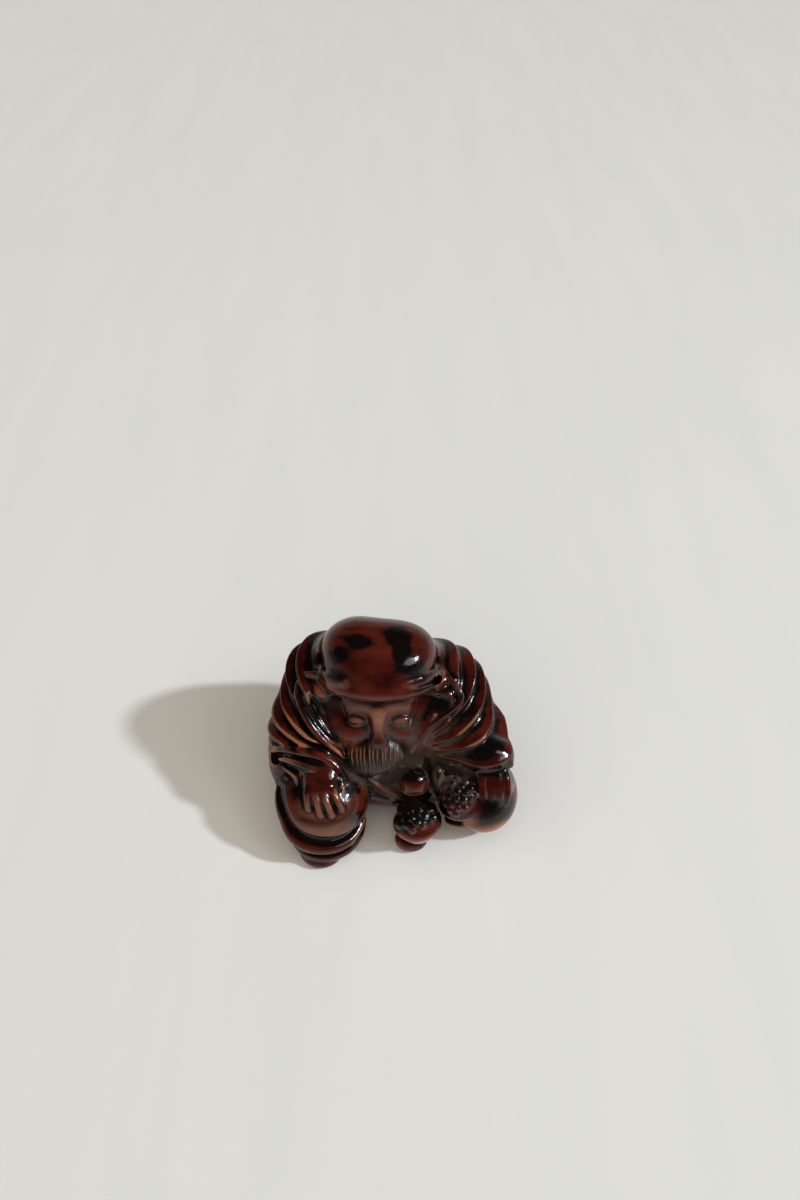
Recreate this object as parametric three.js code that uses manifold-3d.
// A netsuke carved from one block of wood: an old man in a soft cap, seated on the ground,
// with his right hand on his knee and round fruits held in his lap.
// Units are millimetres. +Z is up, the figure faces -Y, and the origin is the middle of its underside.
import * as THREE from 'three';
import { mergeVertices } from 'three/addons/utils/BufferGeometryUtils.js';
import Module from 'manifold-3d';

const wasm = await Module();
wasm.setup();

// ---- driving dimensions -------------------------------------------------------------------------
// Places are in the carver's frame: X across, Y front to back, Z up from the ground.

// Rounded masses: the middle, the half sizes, and how softly each one runs into the rest.
const BACK = { middle: [-1.3, 8.3, 12.3], size: [15.3, 7.9, 11.6], blend: 0 };
const NAPE = { middle: [-2.6, 11.6, 18.8], size: [8.0, 4.5, 5.4], blend: 3 };
const HUNCH = { middle: [-8.8, 10.4, 17.6], size: [5.2, 4.6, 5.0], blend: 3 };
const SEAT = { middle: [-0.5, 4.2, 5.0], size: [17.3, 11.6, 6.5], blend: 4 };
const LAP = { middle: [1.0, -0.5, 4.0], size: [11.0, 6.0, 5.5], blend: 2 };
const CHEST_RIGHT = { middle: [-7.0, 1.2, 12.0], size: [5.5, 4.2, 5.5], blend: 2 };
const CHEST_LEFT = { middle: [5.0, 1.6, 12.3], size: [6.0, 4.4, 5.8], blend: 2 };
const KNEE_RIGHT = { middle: [-11.3, -7.0, 6.4], size: [7.4, 7.3, 5.8] };
const KNEE_LEFT = { middle: [13.9, -5.2, 4.8], size: [5.6, 6.4, 5.2] };
const THIGH_RIGHT = { from: [-9.5, 4.0, 5.5], to: [-11.3, -6.0, 6.0], radius: 6.4 };
const HEM_FILL = { middle: [-11.4, -7.6, 2.8], size: [6.5, 7.2, 2.8] };
const HEM_RINGS = [{ reach: 6.6, up: 3.9 }, { reach: 6.9, up: 2.2 }];
const HEM_SPREAD = 75;
const TOE = { middle: [-11.4, -12.6, 0.9], size: [3.7, 3.7, 1.7] };
const SLEEVE_LOBE = { middle: [-17.6, -2.4, 9.4], size: [2.5, 3.4, 4.1] };
const SLEEVE_OPENING = { middle: [-18.4, -4.0, 12.6], size: [1.2, 1.6, 1.5] };

// Each arm is a tapered limb from the shoulder to the elbow and on to the cuff.
const ARM_RIGHT = { shoulder: [-10.3, 6.6, 15.6], elbow: [-14.6, -0.3, 9.7], cuff: [-11.8, -4.6, 11.0] };
const ARM_LEFT = { shoulder: [8.0, 6.6, 15.4], elbow: [13.0, 0.1, 9.2], cuff: [14.2, -3.0, 9.4] };
const SHOULDER_RADIUS = 6.3;
const ELBOW_RADIUS = 5.1;
const CUFF_RADIUS = 3.6;

// Sleeve folds run round the back from cuff to cuff, evenly spaced between a highest and a lowest
// crest. Both are [degrees round from the front, degrees up] as seen from the robe's middle.
const ROBE_MIDDLE = [-1, 4, 8];
const FOLD_COUNT = 5;
const FOLD_HEIGHT = 1.15;
const BACK_FOLD_HEIGHT = 0.5;
const FOLD_START = { right: -46, left: 44 };
const HIGH_CREST = [[-180, 33], [-155, 34.5], [-130, 38], [-97, 47], [-83, 48], [-70, 46], [-57, 35], [0, 40],
  [51, 52], [69, 55], [85, 50], [103, 56], [130, 44], [155, 36.5], [180, 33]];
const LOW_CREST = [[-180, -6], [-155, -4], [-130, 1], [-97, 10], [-83, 16], [-70, 22], [-57, 25], [0, 20],
  [51, 20], [69, 13], [85, 16], [103, 12], [130, 4], [155, -3], [180, -6]];

// The head leans back. Inside it, lengths are from the skull's middle: +Z to the crown, -Y to the face.
const HEAD = { middle: [-2.4, 5.6, 16.2], size: [7.4, 7.1, 8.4], tilt: -18 };
const EYE_OUT = HEAD.size[0] * 2 / 5;
const EYE_HALF_WIDTH = HEAD.size[0] / 5;
const BROW = HEAD.size[2] * 0.17;
const NOSE_BASE = -HEAD.size[2] * 0.42;
const MOUTH_LINE = -HEAD.size[2] * 0.62;

// The cap: a soft dome of two puffs over a rolled rim.
const CAP = { middle: [-2.3, 6.5, 23.7], size: [7.9, 6.5, 4.6], tilt: -18 };
const PUFF = { out: 3.2, back: 1.3, up: 1.2, size: [5.4, 5.5, 3.8], blend: 2.5 };
const RIM = { across: 8.0, deep: 6.5, radius: 1.0, drop: 2.2, slope: 1.1, sideDrop: 0.9, blend: 0.2 };

const BEARD = { middle: [0, -7.2, -7.2], size: [5.2, 2.4, 4.0], lean: -34 };
const BEARD_STRANDS = 9;

const FRUITS = [
  { middle: [10.2, -7.0, 6.6], radius: 3.7, knobs: 34 },
  { middle: [3.4, -10.5, 4.4], radius: 3.5, knobs: 32 },
];
const KNOB = { radius: 0.85, blend: 0.4 };
const SMOOTH_FRUIT = { middle: [2.6, -5.6, 9.7], radius: 2.3 };
const BUD = { middle: [6.2, -5.4, 9.6], size: [0.9, 1.0, 1.9], lean: -25 };

const RIGHT_HAND = { wrist: [-11.4, -5.2, 12.6], palm: [-11.3, -7.7, 12.4], palmSize: [2.6, 3.0, 1.4], slope: 26 };
const RIGHT_FINGERTIPS = [[-12.9, -11.4, 10.5], [-11.1, -12.6, 9.8], [-9.4, -12.5, 9.7], [-7.6, -11.4, 10.1]];
const RIGHT_THUMB = [[-9.2, -6.6, 12.4], [-7.4, -8.2, 11.6], [-6.7, -9.8, 10.4]];
const LEFT_FINGER = { first: 13.0, spacing: 1.35, count: 4, radius: 0.85 };
const LEFT_PALM = { middle: [15.2, -5.9, 7.5], size: [3.8, 3.2, 3.3], lean: 30 };
const FINGER_RADIUS = 0.75;

// Two holes in the back, joined inside by a bent channel, take the cord.
const CORD_CHANNEL = { middle: [-1, 16.6, 9], bend: 3.6, radius: 1.2 };

const WOOD = new THREE.MeshStandardMaterial({ color: 0x4a1a10, roughness: 0.28, metalness: 0 });

// ---- numbers and frames ----------------------------------------------------------------------------

const vector = (p) => new THREE.Vector3(...p);
const radians = THREE.MathUtils.degToRad;
const { lerp, clamp, smoothstep } = THREE.MathUtils;
const mix = (a, b, t) => a.map((value, i) => lerp(value, b[i], t));
const range = (count) => Array.from({ length: count }, (_, i) => i);
const X_AXIS = new THREE.Vector3(1, 0, 0);
const UP = new THREE.Vector3(0, 0, 1);

/** The height of a bent line at one place along it. */
function heightAt(line, place) {
  const next = Math.max(1, line.findIndex(([x]) => x >= place));
  const [from, to] = [line[next - 1], line[next]];
  return lerp(from[1], to[1], (place - from[0]) / (to[0] - from[0]));
}

/** The same with the line's bends eased over a window. The line closes on itself behind the figure. */
function softHeightAt(line, place, window = 24) {
  const shifts = [-0.5, -0.25, 0, 0.25, 0.5]
    .map((part) => place + part * window)
    .map((turned) => turned - 360 * Math.round(turned / 360));
  return shifts.reduce((total, x) => total + heightAt(line, x), 0) / shifts.length;
}

/** A place given inside a leaning frame, in the carver's frame. */
function inside({ middle, tilt }, p) {
  return vector(p).applyAxisAngle(X_AXIS, radians(tilt)).add(vector(middle)).toArray();
}

// ---- masses: distances to soft lumps, melted together -------------------------------------------------

function lump({ middle, size, blend = 0, lean = 0 }) {
  const centre = vector(middle);
  const half = vector(size);
  const distance = (p) => {
    const q = p.clone().sub(centre).applyAxisAngle(X_AXIS, -radians(lean)).divide(half);
    const scaled = q.length();
    return scaled * (scaled - 1) / Math.max(q.divide(half).length(), 1e-6);
  };
  return { distance, blend };
}

function limb(from, to, radiusFrom, radiusTo, blend) {
  const start = vector(from);
  const along = vector(to).sub(start);
  const distance = (p) => {
    const t = clamp(p.clone().sub(start).dot(along) / along.lengthSq(), 0, 1);
    return p.distanceTo(start.clone().addScaledVector(along, t)) - lerp(radiusFrom, radiusTo, t);
  };
  return { distance, blend };
}

const hollow = (mass) => ({ ...mass, cut: true });

/** Distance to masses melted together, with the hollows taken away in turn. */
function melt(masses) {
  return (p) => masses.reduce((total, { distance, blend, cut }) => {
    const sign = cut ? -1 : 1;
    const d = sign * distance(p);
    const overlap = blend > 0 ? Math.max(blend - Math.abs(total - d), 0) / blend : 0;
    return sign * (Math.min(sign * total, sign * d) - overlap * overlap * blend / 4);
  }, Infinity);
}

const REACH = 30;
const MARCH_STEPS = 50;

/** Where a ray from the middle leaves a mass. */
function skin(field, middle, direction) {
  let reach = REACH;
  for (let step = 0; step < MARCH_STEPS; step += 1) {
    reach -= 0.8 * field(middle.clone().addScaledVector(direction, reach));
  }
  return middle.clone().addScaledVector(direction, reach);
}

// ---- solids ----------------------------------------------------------------------------------------

function solid(geometry) {
  geometry.deleteAttribute('normal');
  geometry.deleteAttribute('uv');
  const merged = mergeVertices(geometry);
  const vertProperties = new Float32Array(merged.attributes.position.array);
  const triVerts = new Uint32Array(merged.index.array);
  return new wasm.Manifold(new wasm.Mesh({ numProp: 3, vertProperties, triVerts }));
}

const join = (solids) => solids.reduce((whole, piece) => whole.add(piece));

/** A sphere's net with every corner moved by a rule for its column and row, both 0 to 1. */
function net(columns, rows, place) {
  const geometry = new THREE.SphereGeometry(1, columns, rows);
  const position = geometry.attributes.position;
  for (let i = 0; i < position.count; i += 1) {
    const column = (i % (columns + 1)) % columns / columns;
    const row = Math.floor(i / (columns + 1)) / rows;
    position.setXYZ(i, ...place(column, row));
  }
  return solid(geometry);
}

/** The unit direction that is so many degrees round from the front and so many up. */
function bearing(around, up) {
  const level = Math.cos(radians(up));
  return new THREE.Vector3(Math.sin(radians(around)) * level, -Math.cos(radians(around)) * level,
    Math.sin(radians(up)));
}

/** A net pulled on to a mass, with its pole tipped forward from straight up. */
function wrap(masses, middle, columns, rows, tip = 0) {
  const field = melt(masses);
  return net(columns, rows, (column, row) => {
    const direction = bearing(360 * column - 180, 90 - 180 * row).applyAxisAngle(X_AXIS, radians(tip));
    return skin(field, vector(middle), direction);
  });
}

function egg({ middle, size, lean = 0 }, columns = 12, rows = 8) {
  return net(columns, rows, (column, row) => {
    const corner = bearing(360 * column, 90 - 180 * row).multiply(vector(size));
    return corner.applyAxisAngle(X_AXIS, radians(lean)).add(vector(middle));
  });
}

/** A rounded strand along a curve, its thickness set along the way. */
function strand(points, radii, { sides = 7, rows = 12, outward = UP } = {}) {
  const curve = new THREE.CatmullRomCurve3(points.map(vector), false, 'centripetal');
  const thickness = radii.map((radius, i) => [i / (radii.length - 1), radius]);
  return net(sides, rows, (column, row) => {
    const t = (1 - Math.cos(Math.PI * row)) / 2;
    const along = curve.getTangentAt(t);
    const across = outward.clone().cross(along).normalize();
    const out = along.clone().cross(across);
    const radius = heightAt(thickness, t) * Math.sqrt(Math.sin(Math.PI * row));
    const turn = 2 * Math.PI * column;
    return curve.getPointAt(t)
      .addScaledVector(across, -radius * Math.cos(turn))
      .addScaledVector(out, radius * Math.sin(turn));
  });
}

// ---- robe ------------------------------------------------------------------------------------------

const robeField = melt([
  lump(BACK),
  lump(NAPE),
  lump(HUNCH),
  lump(SEAT),
  limb(ARM_RIGHT.shoulder, ARM_RIGHT.elbow, SHOULDER_RADIUS, ELBOW_RADIUS, 3),
  limb(ARM_RIGHT.elbow, ARM_RIGHT.cuff, ELBOW_RADIUS, CUFF_RADIUS, 2),
  limb(ARM_LEFT.shoulder, ARM_LEFT.elbow, SHOULDER_RADIUS, ELBOW_RADIUS, 3),
  limb(ARM_LEFT.elbow, ARM_LEFT.cuff, ELBOW_RADIUS, CUFF_RADIUS, 2),
  limb(THIGH_RIGHT.from, THIGH_RIGHT.to, THIGH_RIGHT.radius, THIGH_RIGHT.radius, 1),
  lump(LAP),
  lump(CHEST_RIGHT),
  lump(CHEST_LEFT),
]);

/** How tall the folds stand, by the way round from the front. */
function foldHeight(around) {
  const start = around < 0 ? -FOLD_START.right : FOLD_START.left;
  const turned = Math.abs(around);
  const side = lerp(FOLD_HEIGHT, BACK_FOLD_HEIGHT, smoothstep(turned, 120, 160));
  return side * smoothstep(turned, start, start + 18);
}

const ROWS_PER_FOLD = 4;
const TOP_ROWS = 3;
const LOW_ROWS = 6;
const ROBE_COLUMNS = 40;
const LOWEST = -36;

/** The robe, netted so that its rows follow the crests and the valleys of the folds. */
function robe() {
  const foldRows = FOLD_COUNT * ROWS_PER_FOLD;
  const rows = TOP_ROWS + foldRows + LOW_ROWS + 1;
  return net(ROBE_COLUMNS, rows, (column, rowPart) => {
    const row = Math.round(rowPart * rows);
    const around = 360 * column - 180;
    const high = softHeightAt(HIGH_CREST, around);
    const low = softHeightAt(LOW_CREST, around);
    const gap = (high - low) / (FOLD_COUNT - 1);
    const [top, bottom] = [high + gap / 2, low - gap / 2];
    let up = lerp(top, bottom, (row - TOP_ROWS) / foldRows);
    if (row < TOP_ROWS) {
      up = lerp(90, top, row / TOP_ROWS);
    } else if (row > TOP_ROWS + foldRows) {
      up = lerp(bottom, LOWEST, (row - TOP_ROWS - foldRows) / LOW_ROWS);
    }
    if (row === rows) {
      up = -90;
    }
    const crest = (high - clamp(up, bottom, top)) / gap;
    const direction = bearing(around, up);
    const raised = foldHeight(around) * Math.abs(Math.cos(Math.PI * crest));
    return skin(robeField, vector(ROBE_MIDDLE), direction).addScaledVector(direction, raised);
  });
}

function knees() {
  return [egg(KNEE_RIGHT, 20, 12), egg(KNEE_LEFT, 16, 10), egg(SLEEVE_LOBE, 10, 8)];
}

/** Two thin rings of cloth round the foot of the right knee, and the toe below them. */
function hem() {
  const [x, y] = KNEE_RIGHT.middle;
  const rings = HEM_RINGS.map(({ reach, up }) => strand(
    range(7).map((i) => {
      const part = i / 3 - 1;
      const turn = radians(HEM_SPREAD * part);
      const near = reach - 0.9 * part * part;
      return [x + near * Math.sin(turn), y - near * Math.cos(turn), up];
    }),
    [0.6, 0.9, 0.9, 0.6],
    { sides: 5, rows: 9 },
  ));
  return [...rings, egg(HEM_FILL, 16, 6), egg(TOE, 12, 6)];
}

// ---- collars, cuffs and hands -------------------------------------------------------------------------

const COLLARS = [
  {
    edge: [[-8.8, 5.8, 19.6], [-10.6, 5.4, 20.9], [-12.5, 4.4, 20.7], [-13.2, 2.4, 19.6], [-12.5, 0.4, 18.0],
      [-10.6, -1.5, 16.0], [-8.3, -3.0, 13.2], [-6.2, -4.1, 10.6]],
    pocket: [[-9.6, 4.6, 20.9], [-10.2, 2.8, 20.6], [-9.5, 0.4, 18.8], [-7.9, -1.5, 16.6]],
  },
  {
    edge: [[4.2, 5.4, 19.8], [6.0, 5.0, 21.2], [8.0, 4.0, 21.2], [8.8, 2.0, 20.1], [8.0, -0.2, 18.6],
      [6.0, -1.8, 16.4], [3.8, -3.0, 13.6], [2.0, -3.8, 11.6]],
    pocket: [[5.1, 4.4, 20.9], [6.2, 2.6, 20.4], [5.8, 0.3, 18.4], [4.2, -1.3, 16.2]],
  },
];
const collarEdges = () => COLLARS.map(({ edge }) => strand(edge, [0.6, 1.0, 1.15, 1.1, 0.6], { sides: 6, rows: 12 }));
const collarPockets = () => COLLARS.map(({ pocket }) => strand(pocket, [0.7, 1.5, 1.3, 0.5], { sides: 6, rows: 7 }));

const CUFFS = [
  [[-18.0, -3.6, 13.0], [-15.4, -4.4, 14.2], [-12.2, -5.2, 14.5], [-9.2, -5.8, 13.4], [-7.2, -6.2, 11.4]],
  [[-17.4, -4.6, 12.2], [-14.8, -5.6, 13.2], [-12.2, -6.3, 13.6], [-9.8, -6.6, 12.8]],
  [[10.4, -3.9, 10.0], [12.4, -3.2, 12.2], [15.2, -2.8, 12.7], [18.0, -3.0, 10.6]],
];
const cuffs = () => CUFFS.map((edge) => strand(edge, [0.5, 0.8, 0.8, 0.5], { sides: 5, rows: 9 }));

function rightHand() {
  const { wrist, palm, palmSize, slope } = RIGHT_HAND;
  const fingers = RIGHT_FINGERTIPS.map((tip, i) => {
    const knuckle = [palm[0] - 1.7 + 1.25 * i, palm[1] - 1.3, palm[2] - 0.1];
    const joint = mix(knuckle, tip, 0.5);
    joint[2] += 0.45;
    return strand([wrist, knuckle, joint, tip], [1.1, 0.8, 0.75, 0.7, 0.6], { sides: 6, rows: 7 });
  });
  const thumb = strand(RIGHT_THUMB, [0.9, FINGER_RADIUS, 0.6], { sides: 6, rows: 7 });
  return [egg({ middle: palm, size: palmSize, lean: slope }, 12, 8), thumb, ...fingers];
}

function leftHand() {
  const fingers = range(LEFT_FINGER.count).map((i) => {
    const x = LEFT_FINGER.first + LEFT_FINGER.spacing * i;
    const path = [[x * 0.5 + 7.4, -3.4, 10.6], [x, -6.0, 10.2], [x + 0.1, -8.6, 8.2], [x, -9.9, 5.6]];
    return strand(path, [1.0, 0.9, LEFT_FINGER.radius, 0.7], { sides: 6, rows: 7 });
  });
  return [egg(LEFT_PALM, 12, 8), ...fingers];
}

// ---- head, beard and cap -------------------------------------------------------------------------------

/** Both sides of a feature, mirrored over the middle of the face. */
const bothSides = (make) => [-1, 1].flatMap(make);

function head() {
  const on = (x, y, z) => inside(HEAD, [x, y, z]);
  const lean = HEAD.tilt;
  const features = bothSides((side) => [
    hollow(lump({ middle: on(side * EYE_OUT, -7.7, 0), size: [EYE_HALF_WIDTH + 0.5, 1.6, 1.3], blend: 0.5, lean })),
    lump({ middle: on(side * EYE_OUT, -6.0, 0), size: [EYE_HALF_WIDTH, 1.0, 0.8], blend: 0.15, lean }),
    limb(on(side * 0.9, -7.3, BROW), on(side * 4.6, -6.1, BROW), 0.45, 0.3, 0.5),
    lump({ middle: on(side * 3.5, -5.9, NOSE_BASE + 0.9), size: [2.4, 1.6, 1.8], blend: 0.8, lean }),
    lump({ middle: on(side * 1.0, -7.3, NOSE_BASE), size: [0.6, 0.7, 0.55], blend: 0.3, lean }),
    lump({ middle: on(side * 1.1, -6.2, MOUTH_LINE), size: [1.6, 0.6, 0.7], blend: 0.4, lean }),
    lump({ middle: on(side * 7.6, 0.4, -1.2), size: [0.9, 1.6, 2.6], blend: 0.3, lean }),
  ]);
  const nose = limb(on(0, -7.0, BROW - 0.4), on(0, -8.1, NOSE_BASE + 0.3), 0.5, 0.9, 0.4);
  return wrap([lump({ ...HEAD, lean }), ...features, nose], HEAD.middle, 28, 21, 90 + lean);
}

function beard() {
  const on = (p) => inside(HEAD, p);
  const whole = egg({ ...BEARD, middle: on(BEARD.middle), lean: BEARD.lean }, 14, 8);
  const [wide, deep, long] = BEARD.size;
  const locks = range(BEARD_STRANDS).map((i) => {
    const x = lerp(-0.85, 0.85, i / (BEARD_STRANDS - 1));
    const reach = 0.95 * Math.sqrt(1 - x * x);
    const path = [0.7, 0.2, -0.4, -1].map((part) => {
      const z = part * reach;
      const y = -Math.sqrt(Math.max(1 - x * x - z * z, 0));
      return inside({ middle: on(BEARD.middle), tilt: BEARD.lean }, [wide * x, deep * y, long * z]);
    });
    return strand(path, [0.4, 0.5, 0.5, 0.3], { sides: 4, rows: 5, outward: new THREE.Vector3(0, -1, 0) });
  });
  return [whole, ...locks];
}

function cap() {
  const on = (p) => inside(CAP, p);
  const { tilt } = CAP;
  const corners = range(28).map((i) => {
    const a = 2 * Math.PI * i / 28;
    const [x, y] = [Math.cos(a), Math.sin(a)];
    return on([RIM.across * x, RIM.deep * y, -RIM.drop - RIM.slope * y - RIM.sideDrop * x * x]);
  });
  const rim = corners.map((corner, i) => limb(corner, corners[(i + 1) % corners.length], RIM.radius, RIM.radius,
    RIM.blend));
  const puffs = bothSides((side) => [
    lump({ ...PUFF, middle: on([side * PUFF.out, PUFF.back, PUFF.up]), lean: tilt }),
  ]);
  const brow = lump({ middle: on([0, -3.6, -0.9]), size: [5.0, 3.2, 2.3], blend: 1, lean: tilt });
  const dome = lump({ middle: on([0, 0, 0]), size: CAP.size, lean: tilt });
  return wrap([dome, ...puffs, brow, ...rim], CAP.middle, 28, 20, tilt);
}

// ---- fruits --------------------------------------------------------------------------------------------

/** A ball with round knobs spread evenly over it along a spiral. */
function knobbly({ middle, radius, knobs }) {
  const golden = 180 * (3 - Math.sqrt(5));
  const bumps = range(knobs).map((i) => {
    const up = THREE.MathUtils.radToDeg(Math.asin(1 - 2 * (i + 0.5) / knobs));
    const place = bearing(golden * i, up).multiplyScalar(radius).add(vector(middle)).toArray();
    return lump({ middle: place, size: [KNOB.radius, KNOB.radius, KNOB.radius], blend: KNOB.blend });
  });
  return wrap([lump({ middle, size: [radius, radius, radius] }), ...bumps], middle, 18, 14);
}

function fruits() {
  const { middle, radius } = SMOOTH_FRUIT;
  return [
    ...FRUITS.map(knobbly),
    egg({ middle, size: [radius, radius, radius] }, 12, 8),
    egg(BUD, 8, 6),
    egg({ middle: [3.0, -11.4, 1.0], size: [2.3, 1.9, 1.3] }, 10, 6),
    egg({ middle: [10.4, -9.4, 3.4], size: [2.6, 1.7, 0.8], lean: -20 }, 8, 6),
  ];
}

// ---- cuts and the whole -----------------------------------------------------------------------------------

function cordChannel() {
  const ring = new THREE.TorusGeometry(CORD_CHANNEL.bend, CORD_CHANNEL.radius, 8, 22);
  ring.translate(...CORD_CHANNEL.middle);
  return solid(ring);
}

function ground() {
  const block = new THREE.BoxGeometry(80, 80, 20);
  block.translate(0, 0, -10);
  return solid(block);
}

function figure() {
  const hollows = [...collarPockets(), egg(SLEEVE_OPENING, 8, 6)];
  const body = join([robe(), ...knees(), ...hem()]).subtract(join(hollows));
  const dressed = join([body, ...collarEdges(), ...cuffs(), head(), ...beard(), cap()]);
  const whole = join([dressed, ...rightHand(), ...leftHand(), ...fruits()]);
  const carved = whole.subtract(cordChannel()).subtract(ground());
  const mesh = carved.getMesh();
  const geometry = new THREE.BufferGeometry();
  geometry.setAttribute('position', new THREE.BufferAttribute(mesh.vertProperties, 3));
  geometry.setIndex(new THREE.BufferAttribute(mesh.triVerts, 1));
  geometry.computeBoundingBox();
  const centre = geometry.boundingBox.getCenter(new THREE.Vector3());
  geometry.translate(-centre.x, -centre.y, 0);
  geometry.computeVertexNormals();
  return geometry;
}

const netsuke = new THREE.Group();
const piece = new THREE.Mesh(figure(), WOOD);
piece.name = 'netsuke_figure';
netsuke.add(piece);

export default netsuke;
